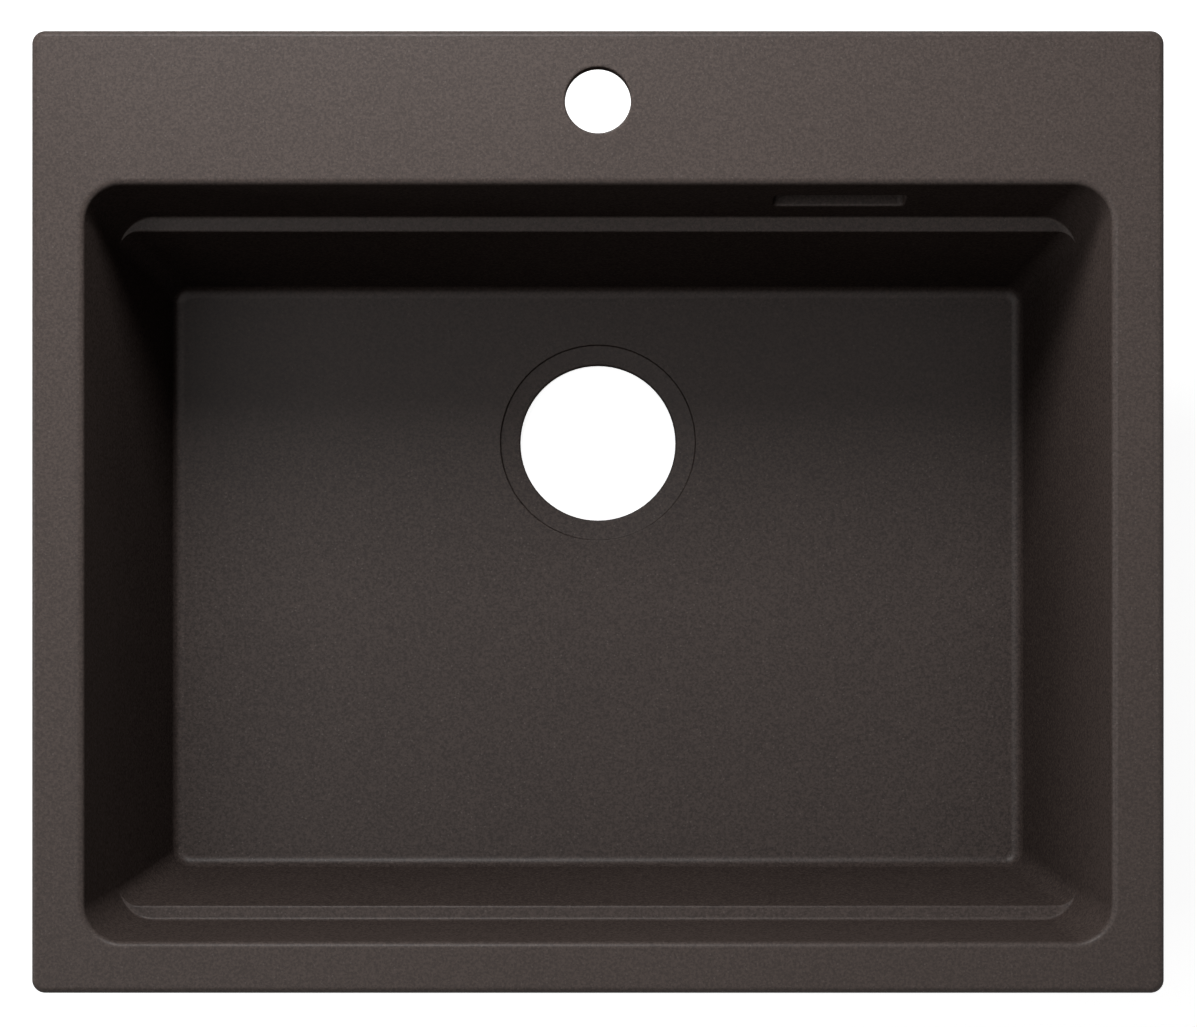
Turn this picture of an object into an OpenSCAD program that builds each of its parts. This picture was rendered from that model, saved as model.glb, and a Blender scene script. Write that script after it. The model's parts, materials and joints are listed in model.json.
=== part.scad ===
// Inset kitchen sink cast in granite composite. It has one bowl with a shelf ledge along
// its front and back walls, a tap deck behind the bowl, an overflow slot in the back wall
// and fixing clips under the rim. All sizes are in millimetres.
// +X is right, +Y is the back and +Z is up. The origin lies under the middle of the rim,
// on the plane that the base rests on.

/* [Rim and deck] */
// Width of the rim at each side of the bowl's mouth
side_land = 27.5; // [27:0.5:60]
// Width of the rim in front of the bowl's mouth
front_land = 27; // [27:0.5:60]
// Width of the tap deck behind the bowl's mouth
deck_land = 81.5; // [76:0.5:120]
// Corner radius of the rim, seen from above
rim_corner_r = 7; // [4:0.5:16]
// Thickness of the rim and of the tap deck
rim_t = 9; // [7:0.5:12]
// Radius along the rim's top edge
rim_edge_r = 3.5; // [1:0.25:4]
// Chamfer along the rim's bottom edge
rim_chamfer = 1; // [0.5:0.25:2]

/* [Bowl] */
// Width of the bowl's mouth between its lines before rounding
bowl_w = 545; // [450:1:700]
// Depth of the bowl's mouth from front to back between its lines before rounding
bowl_d = 401.5; // [340:0.5:440]
// Height of the sink from its base to the rim's top
sink_h = 200; // [170:1:230]
// Thickness of the floor
floor_t = 10; // [8:0.5:14]
// Thickness of the walls
wall_t = 7.5; // [6:0.5:8]
// Radius of the lip round the bowl's mouth
lip_r = 3.75; // [3:0.25:6]
// Slope of the side walls, and of the front and back walls below the ledge, in degrees
side_draft = 8.2; // [6:0.1:10]
// Slope of the front and back walls above the ledge, in degrees
upper_draft = 6.6; // [6:0.1:9]
// Depth of the ledge below the rim's top
ledge_depth = 70; // [64:1:95]
// Width of the ledge
ledge_w = 8.2; // [6:0.1:14]
// Fall of the ledge towards the bowl
ledge_fall = 0.4; // [0.2:0.1:1]
// Radius of the corner between the ledge and the wall above it
ledge_corner_r = 2; // [1:0.25:3]
// Radius of the ledge's edge
ledge_edge_r = 1.5; // [0.5:0.25:2.5]
// Radius of the mouth's corners, seen from above
mouth_corner_r = 18; // [14:0.5:30]
// Radius of the bowl's corners at the foot of the upper walls
upper_corner_r = 15; // [12:0.5:20]
// Radius of the bowl's corners just below the ledge
lower_corner_r = 10.5; // [9:0.5:12]
// Radius of the bowl's corners at the floor, before the floor fillet
floor_corner_r = 9.5; // [9:0.5:12]
// Radius of the fillet between the walls and the floor
floor_fillet_r = 7; // [4:0.5:9]
// Radius along the outside edge of the base
base_edge_r = 10; // [6:0.5:14]
// Radius between the rim's underside and the walls
under_fillet_r = 4; // [2:0.5:5]

/* [Drain and tap hole] */
// Distance of the drain's centre behind the middle of the bowl
drain_back = 78; // [0:1:90]
// Diameter of the drain hole
drain_d = 90; // [60:0.5:92]
// Diameter of the recess for the strainer's flange
recess_d = 113; // [100:0.5:120]
// Depth of the recess's wall
recess_depth = 2.5; // [1.5:0.1:3.5]
// Fall of the recess's floor towards the drain hole
recess_fall = 0.5; // [0.2:0.1:1]
// Diameter of the tap hole
tap_d = 35; // [32:0.5:38]
// Distance of the tap hole's centre from the rim's back edge
tap_edge = 37; // [34:0.5:42]
// Chamfer round the tap hole's top edge
tap_chamfer = 0.8; // [0.3:0.1:1.5]

/* [Overflow slot] */
// Width of the slot
slot_w = 70; // [50:1:80]
// Height of the slot
slot_h = 22.5; // [16:0.5:26]
// Corner radius of the slot
slot_r = 3.5; // [2:0.5:6]
// Depth of the slot's top edge below the rim's top
slot_depth = 24; // [22:0.5:34]
// Distance of the slot's centre from the line of the bowl's right wall
slot_side = 142.5; // [142.5:0.5:190]
// Distance that the pad behind the slot stands out from the back wall
pad_out = 3; // [2:0.5:6]

/* [Overflow collector] */
// Thickness of the gasket
gasket_t = 2; // [1:0.5:4]
// Width of the collector's hollow beyond the slot, all round
hollow_margin = 4; // [3:0.5:6]
// Thickness of the collector's walls
collector_t = 2; // [1.5:0.25:3]
// Depth of the collector from its seat to its back
collector_d = 22; // [22:1:30]
// Thickness of the collector's flange
flange_t = 3; // [2:0.5:4]
// Height of the flange above and below the collector's walls
flange_lip = 2; // [1:0.5:3]
// Width of the flange's ears at each side of the collector's walls
ear_w = 14; // [12:0.5:18]
// Outer diameter of the hose spigot
spigot_d = 20; // [16:0.5:20]
// Length of the hose spigot
spigot_len = 20; // [14:1:30]
// Chamfer at the spigot's tip
spigot_chamfer = 1; // [0.5:0.25:1.5]
// Width of the shoulder at the spigot's root, which stops the hose
shoulder_w = 1; // [0.5:0.25:1.25]
// Height of the shoulder below the flange's lower edge
shoulder_h = 1.5; // [1:0.25:3]
// Corner radius of the flange and the gasket
flange_r = 6; // [3:0.5:9]
// Width of the pad beyond the flange
pad_margin = 3; // [1:0.5:5]

/* [Collector screws and inserts] */
// Diameter of the collector's machine screws
set_screw_d = 4; // [3:0.5:5]
// Length of the machine screws under their heads
set_screw_len = 12; // [10:1:12]
// Diameter of the machine screws' heads
set_head_d = 8; // [7:0.5:9]
// Height of the machine screws' heads
set_head_h = 2.6; // [2:0.1:3]
// Diameter of the brass inserts
insert_d = 6; // [5.5:0.25:8]
// Length of the brass inserts
insert_len = 8; // [6:0.5:8]
// Depth that each insert's hole runs past the insert
insert_gap = 1; // [0.5:0.25:1.5]

/* [Worktop and seal] */
// Width by which the rim overlaps the worktop all round the cut-out
overlap = 10; // [9:0.5:12]
// Thickest worktop that the clips hold
worktop_max = 40; // [36:1:44]
// Thinnest worktop that the clips hold
worktop_min = 27.5; // [24:0.5:30]
// Thickness of the foam seal under the rim
seal_t = 2; // [1:0.5:4]
// Width of the foam seal
seal_w = 6; // [4:0.5:7]
// Distance of the seal from the cut-out's edge
seal_inset = 1.5; // [1:0.25:2]
// Radius of the seal's inner corners
seal_corner_r = 4; // [2:0.5:8]

/* [Clip positions] */
// Distance between the two clips on each side
side_pitch = 230; // [160:5:260]
// Distance of the front clips from the side edges of the worktop's cut-out
front_inset = 140; // [110:5:180]
// Distance of the back clips from the side edges of the worktop's cut-out
back_inset = 80; // [70:5:85]

/* [Clip bosses and dowels] */
// Clearance between the bosses and the edge of the worktop's cut-out
boss_gap = 1.5; // [1:0.25:1.75]
// Wall of a boss round its dowel hole
boss_wall = 3; // [2.5:0.25:3.25]
// Width of the web that ties a boss to the bowl's wall
web_w = 8; // [5:0.5:11]
// Solid thickness left above a dowel hole
hole_cover = 11.8; // [10:0.1:14]
// Space above the screw's tip when its clip is fully raised
tip_gap = 0.6; // [0.3:0.1:1.5]
// Diameter of the dowels
dowel_d = 6.9; // [6.5:0.1:7.2]
// Diameter of a dowel's flange
dowel_flange_d = 10.5; // [9:0.25:11]
// Thickness of a dowel's flange
dowel_flange_t = 1.2; // [0.8:0.1:2]

/* [Clip screws, washers and claws] */
// Diameter of the clip screws over their thread
screw_d = 4.2; // [3.5:0.1:4.4]
// Length of thread inside the dowel when a clip is fully lowered
screw_grip = 10.8; // [8:0.1:12]
// Length of a clip screw's point
screw_point = 2; // [1:0.25:3]
// Diameter at the tip of the point
screw_tip_d = 1.4; // [0.6:0.1:2]
// Diameter of a clip screw's head
head_d = 8; // [7:0.25:9]
// Height of a clip screw's head
head_h = 3.1; // [2.5:0.1:3.5]
// Width of the slots of the cross recess in the screw heads
recess_slot_w = 1.1; // [0.8:0.1:1.4]
// Length of the slots of the cross recess in the screw heads
recess_slot_len = 4.6; // [3.5:0.1:5]
// Depth of the cross recess in the screw heads
recess_slot_depth = 1.4; // [0.8:0.1:1.8]
// Diameter of the washers
washer_d = 9; // [8:0.25:10]
// Thickness of the washers
washer_t = 0.8; // [0.5:0.1:1.5]
// Width of a claw
claw_w = 10; // [9:0.25:10]
// Thickness of a claw's steel
claw_t = 2; // [1.5:0.1:2.5]
// Distance from a claw's pivot to its tip
claw_reach = 30; // [24:0.5:40]
// Height of a claw's gripping edge above its plate
claw_rise = 9; // [7:0.5:12]
// Height of a claw's side flanges above its plate
claw_flange_h = 3.5; // [2:0.25:5]
// Distance from a claw's pivot to the start of its side flanges
claw_flange_start = 8; // [7:0.5:12]
// Depth of the notches between a claw's teeth
tooth_depth = 1.6; // [1:0.1:2.2]
// Space between a lowered claw and the thickest worktop, so that the claw can swing
swing_gap = 1.5; // [1:0.25:3]

/* [Fits] */
// Clearance on the radius between a dowel or an insert and its hole
seat_gap = 0.05; // [0.02:0.01:0.1]
// Clearance on the radius between a screw and what it turns in
thread_gap = 0.05; // [0.02:0.01:0.1]
// Clearance on the radius between a clip screw and its washer or claw
turn_gap = 0.08; // [0.02:0.01:0.1]
// Clearance between the flat faces of a claw, its washer and its screw's head
face_gap = 0.05; // [0.02:0.01:0.1]

/* [Hidden] */

composite = [0.23, 0.2, 0.19];
foam = [0.13, 0.13, 0.14];
nylon = [0.78, 0.76, 0.7];
steel = [0.66, 0.67, 0.69];
brass = [0.8, 0.66, 0.36];
dark_plastic = [0.16, 0.16, 0.17];
rubber = [0.09, 0.09, 0.09];

// Steps round each quarter of a corner, and along each rounded edge
corner_steps = 8;
edge_steps = 3;
// Cuts run this far past the faces that they go through
past = 1;
$fn = 48;

// Outline of the rim and place of the bowl
rim_w = bowl_w + 2 * side_land;
rim_d = front_land + bowl_d + deck_land;
bowl_y = -rim_d / 2 + front_land + bowl_d / 2;
floor_depth = sink_h - floor_t;

// Cut-out in the worktop
cut_w = rim_w - 2 * overlap;
cut_d = rim_d - 2 * overlap;

// Inside of the bowl at a depth below the rim's top, before rounding
function side_half(depth) = bowl_w / 2 - depth * tan(side_draft);
function upper_half(depth) = bowl_d / 2 - depth * tan(upper_draft);
function lower_half(depth) =
    upper_half(ledge_depth) - ledge_w - (depth - ledge_depth) * tan(side_draft);
function upper_corner(depth) =
    mouth_corner_r + (upper_corner_r - mouth_corner_r) * depth / ledge_depth;
function lower_corner(depth) =
    lower_corner_r
    + (floor_corner_r - lower_corner_r) * (depth - ledge_depth) / (floor_depth - ledge_depth);

// A ring is a rounded rectangle: half width, half depth, corner radius, centre in Y, height
function ring(half_x, half_y, r, y, z) = [
    for (q = [0:3], i = [0:corner_steps])
        let (
            turn = 90 * (q + i / corner_steps),
            side_x = (q == 0 || q == 3) ? 1 : -1,
            side_y = (q < 2) ? 1 : -1
        )
        [
            side_x * (half_x - r) + r * cos(turn),
            y + side_y * (half_y - r) + r * sin(turn),
            z
        ]
];

// How far a rounding of radius r between a flat face and a wall of that slope reaches
function flat_reach(r, slope) = r * tan(45 - slope / 2);

// Outside of the bowl, from the base up to the rim's underside
base_flat = -flat_reach(base_edge_r, side_draft);
step_top = ledge_depth + wall_t / 2;
step_foot = step_top + ledge_w;
function outside_lower(depth, out) = ring(
    side_half(depth) + wall_t + out,
    lower_half(depth) + wall_t + out,
    lower_corner(depth) + wall_t + out,
    bowl_y,
    sink_h - depth
);
function outside_upper(depth, out) = ring(
    side_half(depth) + wall_t + out,
    upper_half(depth) + wall_t + out,
    upper_corner(depth) + wall_t + out,
    bowl_y,
    sink_h - depth
);
base_rings = [
    for (i = [0:edge_steps])
        let (turn = -90 + (90 - side_draft) * i / edge_steps)
        ring(
            side_half(sink_h) + wall_t + base_flat + base_edge_r * cos(turn),
            lower_half(sink_h) + wall_t + base_flat + base_edge_r * cos(turn),
            floor_corner_r + wall_t + base_flat + base_edge_r * cos(turn),
            bowl_y,
            base_edge_r + base_edge_r * sin(turn)
        )
];
outside_rings = [outside_lower(step_foot, 0), outside_upper(step_top, 0)];
under_rings = [
    for (i = [0:edge_steps])
        let (turn = 90 * i / edge_steps)
        outside_upper(
            rim_t + under_fillet_r - under_fillet_r * sin(turn),
            under_fillet_r - under_fillet_r * cos(turn)
        )
];

// Rim, from its bottom edge to the flat top
rim_rings = concat(
    [ring(rim_w / 2 - rim_chamfer, rim_d / 2 - rim_chamfer, rim_corner_r - rim_chamfer, 0,
        sink_h - rim_t)],
    [ring(rim_w / 2, rim_d / 2, rim_corner_r, 0, sink_h - rim_t + rim_chamfer)],
    [
        for (i = [0:edge_steps])
            let (turn = 90 * i / edge_steps, inward = rim_edge_r - rim_edge_r * cos(turn))
            ring(rim_w / 2 - inward, rim_d / 2 - inward, rim_corner_r - inward, 0,
                sink_h - rim_edge_r + rim_edge_r * sin(turn))
    ]
);

// Inside of the bowl, from the lip down to the floor
lip_draft = (side_draft + upper_draft) / 2;
lip_flat = flat_reach(lip_r, lip_draft);
lip_rings = [
    for (i = [0:edge_steps])
        let (
            turn = (90 - lip_draft) * i / edge_steps,
            out = lip_flat - lip_r * sin(turn)
        )
        ring(bowl_w / 2 + out, bowl_d / 2 + out, mouth_corner_r + out, bowl_y,
            sink_h - lip_r + lip_r * cos(turn))
];
// The ledge: how far in from the upper wall's foot, and how deep
ledge_line = concat(
    [
        for (i = [0:edge_steps])
            let (turn = 90 * i / edge_steps)
            [
                ledge_corner_r - ledge_corner_r * cos(turn),
                ledge_depth - ledge_corner_r + ledge_corner_r * sin(turn)
            ]
    ],
    [
        for (i = [0:edge_steps])
            let (turn = 90 * i / edge_steps)
            [
                ledge_w - ledge_edge_r + ledge_edge_r * sin(turn),
                ledge_depth + ledge_fall + ledge_edge_r - ledge_edge_r * cos(turn)
            ]
    ]
);
ledge_rings = [
    for (p = ledge_line)
        ring(
            side_half(p[1]),
            upper_half(min(p[1], ledge_depth)) - p[0],
            upper_corner_r + (lower_corner_r - upper_corner_r) * p[0] / ledge_w,
            bowl_y,
            sink_h - p[1]
        )
];
floor_flat = -flat_reach(floor_fillet_r, side_draft);
floor_rings = [
    for (i = [edge_steps:-1:0])
        let (turn = -90 + (90 - side_draft) * i / edge_steps)
        ring(
            side_half(floor_depth) + floor_flat + floor_fillet_r * cos(turn),
            lower_half(floor_depth) + floor_flat + floor_fillet_r * cos(turn),
            floor_corner_r + floor_flat + floor_fillet_r * cos(turn),
            bowl_y,
            floor_t + floor_fillet_r + floor_fillet_r * sin(turn)
        )
];

// A closed solid through a list of rings, capped at the first and the last
module loft(rings) {
    n = len(rings[0]);
    last = len(rings) - 1;
    polyhedron(
        points = [for (one = rings, p = one) p],
        faces = concat(
            [[for (i = [0:n - 1]) i]],
            [
                for (k = [0:last - 1], i = [0:n - 1], half = [0:1])
                    let (a = k * n + i, b = k * n + (i + 1) % n)
                    half == 0 ? [a, a + n, b + n] : [a, b + n, b]
            ],
            [[for (i = [n - 1:-1:0]) last * n + i]]
        )
    );
}

// Corner points of a rounded rectangle in the plane
function rounded(w, h, r) = [
    for (p = ring(w / 2, h / 2, r, 0, 0)) [p[0], p[1]]
];

// Upright plate in the XZ plane from one Y to another, centred on the overflow slot
slot_x = bowl_w / 2 - slot_side;
slot_z = sink_h - slot_depth - slot_h / 2;
module slot_plate(w, h, r, y_from, y_to) {
    translate([slot_x, y_to, slot_z])
        rotate([90, 0, 0])
            linear_extrude(y_to - y_from)
                polygon(rounded(w, h, r));
}

// Places along the stack behind the overflow slot
mouth_back = bowl_y + bowl_d / 2;
pad_y = mouth_back + wall_t + pad_out;
seat_y = pad_y + gasket_t;
hollow_w = slot_w + 2 * hollow_margin;
hollow_h = slot_h + 2 * hollow_margin;
collector_w = hollow_w + 2 * collector_t;
collector_h = hollow_h + 2 * collector_t;
flange_w = collector_w + 2 * ear_w;
flange_h = collector_h + 2 * flange_lip;
set_screw_x = collector_w / 2 + ear_w / 2;
pad_w = flange_w + 2 * pad_margin;
pad_foot = slot_depth + slot_h / 2 + flange_h / 2 + pad_margin;
spigot_y = seat_y + (collector_d - collector_t + flange_t) / 2;

// Heights of a clip's parts as depths below the rim's top, with the clip lowered
lift = worktop_max + swing_gap - worktop_min;
hole_r = dowel_d / 2 + seat_gap;
boss_r = hole_r + boss_wall;
hole_depth = screw_grip + lift - dowel_flange_t + tip_gap;
boss_depth = hole_cover + hole_depth;
grip_depth = rim_t + seal_t + worktop_max + swing_gap;
plate_depth = grip_depth + claw_rise;
washer_depth = plate_depth + claw_t + face_gap;
head_depth = washer_depth + washer_t + face_gap;
screw_len = head_depth - boss_depth - dowel_flange_t + screw_grip;

// Each clip's pivot in X and Y, its outward direction, and its distance from the bowl's line
pivot_x = cut_w / 2 - boss_gap - boss_r;
pivot_y = cut_d / 2 - boss_gap - boss_r;
side_y = side_pitch / 2;
front_x = cut_w / 2 - front_inset;
back_x = cut_w / 2 - back_inset;
side_web = pivot_x - bowl_w / 2;
front_web = pivot_y + bowl_y - bowl_d / 2;
back_web = pivot_y - bowl_y - bowl_d / 2;
CLIPS = [
    [pivot_x, bowl_y - side_y, 0, side_web],
    [pivot_x, bowl_y + side_y, 0, side_web],
    [back_x, pivot_y, 90, back_web],
    [-back_x, pivot_y, 90, back_web],
    [-pivot_x, bowl_y + side_y, 180, side_web],
    [-pivot_x, bowl_y - side_y, 180, side_web],
    [-front_x, -pivot_y, 270, front_web],
    [front_x, -pivot_y, 270, front_web]
];

// Draws its children at a clip's pivot, with local +X pointing out over the worktop
module at_clip(i) {
    translate([CLIPS[i][0], CLIPS[i][1], 0])
        rotate([0, 0, CLIPS[i][2]])
            children();
}

// Boss with its web, reaching up into the rim
module clip_boss(web_len) {
    boss_top = sink_h - rim_t + past;
    boss_h = boss_depth - rim_t + past;
    translate([0, 0, boss_top - boss_h])
        cylinder(h = boss_h, r = boss_r);
    translate([-web_len, -web_w / 2, boss_top - boss_h])
        cube([web_len, web_w, boss_h]);
}

// Pad for the collector's gasket, chamfered at its foot and sunk into the wall and the deck
function wall_middle(depth) = bowl_y + upper_half(depth) + wall_t / 2;
module overflow_pad() {
    pad_top = rim_t - past;
    chamfer = pad_y - wall_middle(pad_foot);
    translate([slot_x - pad_w / 2, 0, sink_h])
        rotate([90, 0, 90])
            linear_extrude(pad_w)
                polygon([
                    [wall_middle(pad_top), -pad_top],
                    [pad_y, -pad_top],
                    [pad_y, -pad_foot],
                    [wall_middle(pad_foot + chamfer), -pad_foot - chamfer]
                ]);
}

module sink_moulding() {
    color(composite)
        difference() {
            union() {
                loft(concat(base_rings, outside_rings, under_rings, rim_rings, lip_rings,
                    ledge_rings, floor_rings));
                for (i = [0:7])
                    at_clip(i) clip_boss(CLIPS[i][3]);
                overflow_pad();
            }
            // Drain hole and the recess for the strainer's flange
            translate([0, bowl_y + drain_back, 0]) {
                translate([0, 0, -past])
                    cylinder(h = floor_t + 2 * past, r = drain_d / 2);
                translate([0, 0, floor_t - recess_depth])
                    cylinder(h = recess_depth + past, r = recess_d / 2);
                translate([0, 0, floor_t - recess_depth - recess_fall])
                    cylinder(h = recess_fall, r1 = drain_d / 2, r2 = recess_d / 2);
            }
            // Tap hole
            translate([0, rim_d / 2 - tap_edge, 0]) {
                translate([0, 0, sink_h - rim_t - past])
                    cylinder(h = rim_t + 2 * past, r = tap_d / 2);
                translate([0, 0, sink_h - tap_chamfer])
                    cylinder(h = 2 * tap_chamfer, r1 = tap_d / 2,
                        r2 = tap_d / 2 + 2 * tap_chamfer);
            }
            // Overflow slot and the blind holes for the inserts
            slot_plate(slot_w, slot_h, slot_r, bowl_y, pad_y + past);
            for (side = [-1, 1])
                translate([slot_x + side * set_screw_x, pad_y + past, slot_z])
                    rotate([90, 0, 0])
                        cylinder(h = insert_len + insert_gap + past,
                            r = insert_d / 2 + seat_gap);
            // Blind holes for the clips' dowels
            for (i = [0:7])
                at_clip(i)
                    translate([0, 0, sink_h - boss_depth - past])
                        cylinder(h = hole_depth + past, r = hole_r);
        }
}

module rim_seal() {
    inner_w = cut_w + 2 * seal_inset;
    inner_d = cut_d + 2 * seal_inset;
    color(foam)
        translate([0, 0, sink_h - rim_t - seal_t])
            linear_extrude(seal_t)
                difference() {
                    polygon(rounded(inner_w + 2 * seal_w, inner_d + 2 * seal_w,
                        seal_corner_r + seal_w / 2));
                    polygon(rounded(inner_w, inner_d, seal_corner_r));
                }
}

// Two holes for the collector's screws, through all that they pass
module set_screw_holes(y_from, y_to, r) {
    for (side = [-1, 1])
        translate([slot_x + side * set_screw_x, y_to + past, slot_z])
            rotate([90, 0, 0])
                cylinder(h = y_to - y_from + 2 * past, r = r);
}

module overflow_gasket() {
    color(rubber)
        difference() {
            slot_plate(flange_w, flange_h, flange_r, pad_y, seat_y);
            slot_plate(hollow_w, hollow_h, slot_r + hollow_margin, pad_y - past, seat_y + past);
            set_screw_holes(pad_y, seat_y, set_screw_d / 2 + thread_gap);
        }
}

module overflow_housing() {
    spigot_top = slot_z - hollow_h / 2;
    collector_foot = slot_z - collector_h / 2;
    spigot_foot = collector_foot - spigot_len;
    spigot_r = spigot_d / 2;
    shoulder_z = slot_z - flange_h / 2 - shoulder_h;
    color(dark_plastic)
        difference() {
            union() {
                slot_plate(flange_w, flange_h, flange_r, seat_y, seat_y + flange_t);
                slot_plate(collector_w, collector_h, slot_r + hollow_margin + collector_t,
                    seat_y, seat_y + collector_d);
                translate([slot_x, spigot_y, spigot_foot + spigot_chamfer])
                    cylinder(h = spigot_top - spigot_foot - spigot_chamfer, r = spigot_r);
                translate([slot_x, spigot_y, spigot_foot])
                    cylinder(h = spigot_chamfer, r1 = spigot_r - spigot_chamfer, r2 = spigot_r);
                translate([slot_x, spigot_y, shoulder_z])
                    cylinder(h = collector_foot - shoulder_z, r = spigot_r + shoulder_w);
            }
            slot_plate(hollow_w, hollow_h, slot_r + hollow_margin, seat_y - past,
                seat_y + collector_d - collector_t);
            translate([slot_x, spigot_y, spigot_foot - past])
                cylinder(h = spigot_top - spigot_foot + 2 * past, r = spigot_r - collector_t);
            set_screw_holes(seat_y, seat_y + flange_t, set_screw_d / 2 + thread_gap);
        }
}

module overflow_inserts() {
    color(brass)
        for (side = [-1, 1])
            translate([slot_x + side * set_screw_x, pad_y, slot_z])
                rotate([90, 0, 0])
                    difference() {
                        cylinder(h = insert_len, r = insert_d / 2);
                        translate([0, 0, -past])
                            cylinder(h = insert_len + 2 * past, r = set_screw_d / 2 + thread_gap);
                    }
}

// Cross recess cut into a head whose face is at z = 0 and looks down
module cross_recess() {
    for (turn = [0, 90])
        rotate([0, 0, turn])
            translate([-recess_slot_len / 2, -recess_slot_w / 2, -past])
                cube([recess_slot_len, recess_slot_w, recess_slot_depth + past]);
}

module overflow_screws() {
    color(steel)
        for (side = [-1, 1])
            translate([slot_x + side * set_screw_x, seat_y + flange_t + set_head_h, slot_z])
                rotate([90, 0, 0])
                    difference() {
                        union() {
                            cylinder(h = set_head_h, r = set_head_d / 2);
                            cylinder(h = set_head_h + set_screw_len, r = set_screw_d / 2);
                        }
                        cross_recess();
                    }
}

module clip_anchor(i) {
    color(nylon)
        at_clip(i)
            translate([0, 0, sink_h - boss_depth])
                difference() {
                    union() {
                        cylinder(h = hole_depth - tip_gap, r = dowel_d / 2);
                        translate([0, 0, -dowel_flange_t])
                            cylinder(h = dowel_flange_t, r = dowel_flange_d / 2);
                    }
                    translate([0, 0, -dowel_flange_t - past])
                        cylinder(h = hole_depth + dowel_flange_t + 2 * past,
                            r = screw_d / 2 + thread_gap);
                }
}

module clip_screw(i) {
    color(steel)
        at_clip(i)
            translate([0, 0, sink_h - head_depth - head_h])
                difference() {
                    union() {
                        cylinder(h = head_h, r = head_d / 2);
                        cylinder(h = head_h + screw_len - screw_point, r = screw_d / 2);
                        translate([0, 0, head_h + screw_len - screw_point])
                            cylinder(h = screw_point, r1 = screw_d / 2, r2 = screw_tip_d / 2);
                    }
                    cross_recess();
                }
}

module clip_washer(i) {
    color(steel)
        at_clip(i)
            translate([0, 0, sink_h - washer_depth - washer_t])
                difference() {
                    cylinder(h = washer_t, r = washer_d / 2);
                    translate([0, 0, -past])
                        cylinder(h = washer_t + 2 * past, r = screw_d / 2 + turn_gap);
                }
}

// The claw is drawn parked, turned a quarter clockwise from its outward direction
module clip_claw(i) {
    flange_len = claw_reach - claw_flange_start;
    tip_h = claw_t + claw_rise;
    tooth_pitch = claw_w / 3;
    color(steel)
        at_clip(i)
            rotate([0, 0, -90])
                translate([0, 0, sink_h - plate_depth - claw_t])
                    difference() {
                        union() {
                            cylinder(h = claw_t, r = claw_w / 2);
                            translate([0, -claw_w / 2, 0])
                                cube([claw_reach, claw_w, claw_t]);
                            translate([claw_reach - claw_t, -claw_w / 2, 0])
                                cube([claw_t, claw_w, tip_h]);
                            for (side = [0, 1])
                                translate([claw_flange_start, -claw_w / 2 + side * (claw_w - claw_t), 0])
                                    cube([flange_len, claw_t, claw_t + claw_flange_h]);
                        }
                        translate([0, 0, -past])
                            cylinder(h = claw_t + 2 * past, r = screw_d / 2 + turn_gap);
                        // Notches between the teeth
                        for (k = [-1, 1])
                            translate([claw_reach - claw_t - past, k * tooth_pitch / 2, tip_h])
                                rotate([45, 0, 0])
                                    translate([0, -tooth_depth / sqrt(2), -tooth_depth / sqrt(2)])
                                        cube([claw_t + 2 * past, sqrt(2) * tooth_depth,
                                            sqrt(2) * tooth_depth]);
                    }
}

sink_moulding();
rim_seal();
overflow_gasket();
overflow_housing();
overflow_inserts();
overflow_screws();
for (i = [1:8]) {
    clip_anchor(i - 1);
    clip_screw(i - 1);
    clip_washer(i - 1);
    clip_claw(i - 1);
}
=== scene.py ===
import json
import math

import bmesh
import bpy
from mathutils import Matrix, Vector


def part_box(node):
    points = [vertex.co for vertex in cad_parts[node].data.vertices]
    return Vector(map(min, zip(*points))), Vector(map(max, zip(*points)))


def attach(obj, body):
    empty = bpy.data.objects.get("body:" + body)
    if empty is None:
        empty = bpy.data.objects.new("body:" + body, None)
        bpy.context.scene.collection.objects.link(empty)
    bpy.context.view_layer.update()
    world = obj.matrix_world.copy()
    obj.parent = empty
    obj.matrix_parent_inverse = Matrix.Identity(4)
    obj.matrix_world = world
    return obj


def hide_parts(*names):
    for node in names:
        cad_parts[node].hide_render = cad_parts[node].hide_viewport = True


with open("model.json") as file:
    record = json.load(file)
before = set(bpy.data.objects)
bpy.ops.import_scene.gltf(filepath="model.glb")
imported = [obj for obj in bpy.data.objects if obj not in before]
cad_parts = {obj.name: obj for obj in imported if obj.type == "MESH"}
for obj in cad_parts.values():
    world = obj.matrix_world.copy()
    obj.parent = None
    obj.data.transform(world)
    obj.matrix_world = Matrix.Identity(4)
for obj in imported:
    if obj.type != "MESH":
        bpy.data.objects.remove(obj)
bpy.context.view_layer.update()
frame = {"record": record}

# Sink moulding. One casting of granite composite: quartz sand and pigment in acrylic resin,
# cured in a two-part mould. Rim, tap deck, bowl, ledges, clip bosses and the pad behind the
# overflow slot are one piece, and the mould rounds every edge.
moulding_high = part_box("sink_moulding")[1]
mounts = {mount["name"]: mount for mount in frame["record"]["mounts"]}
rim_half_x = moulding_high.x
rim_half_y = moulding_high.y
rim_top = moulding_high.z

side_land = 0.0275
front_land = 0.027
deck_land = 0.0815
rim_corner = 0.007
rim_thickness = 0.009
rim_edge = 0.0035
rim_chamfer = 0.001
under_fillet = 0.004

wall = 0.0075
floor_thickness = 0.010
side_slope = math.radians(8.2)
upper_slope = math.radians(6.6)
lip = 0.00375
mouth_corner = 0.0205
ledge_depth = 0.070
ledge_width = 0.0082
ledge_fall = 0.0004
ledge_cove = 0.002
ledge_edge = 0.0015
upper_corner = 0.0195
lower_corner = 0.0105
floor_corner = 0.0095
floor_fillet = 0.007
base_edge = 0.010
step_ease = 0.001
step_ease_out = 0.0002

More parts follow.
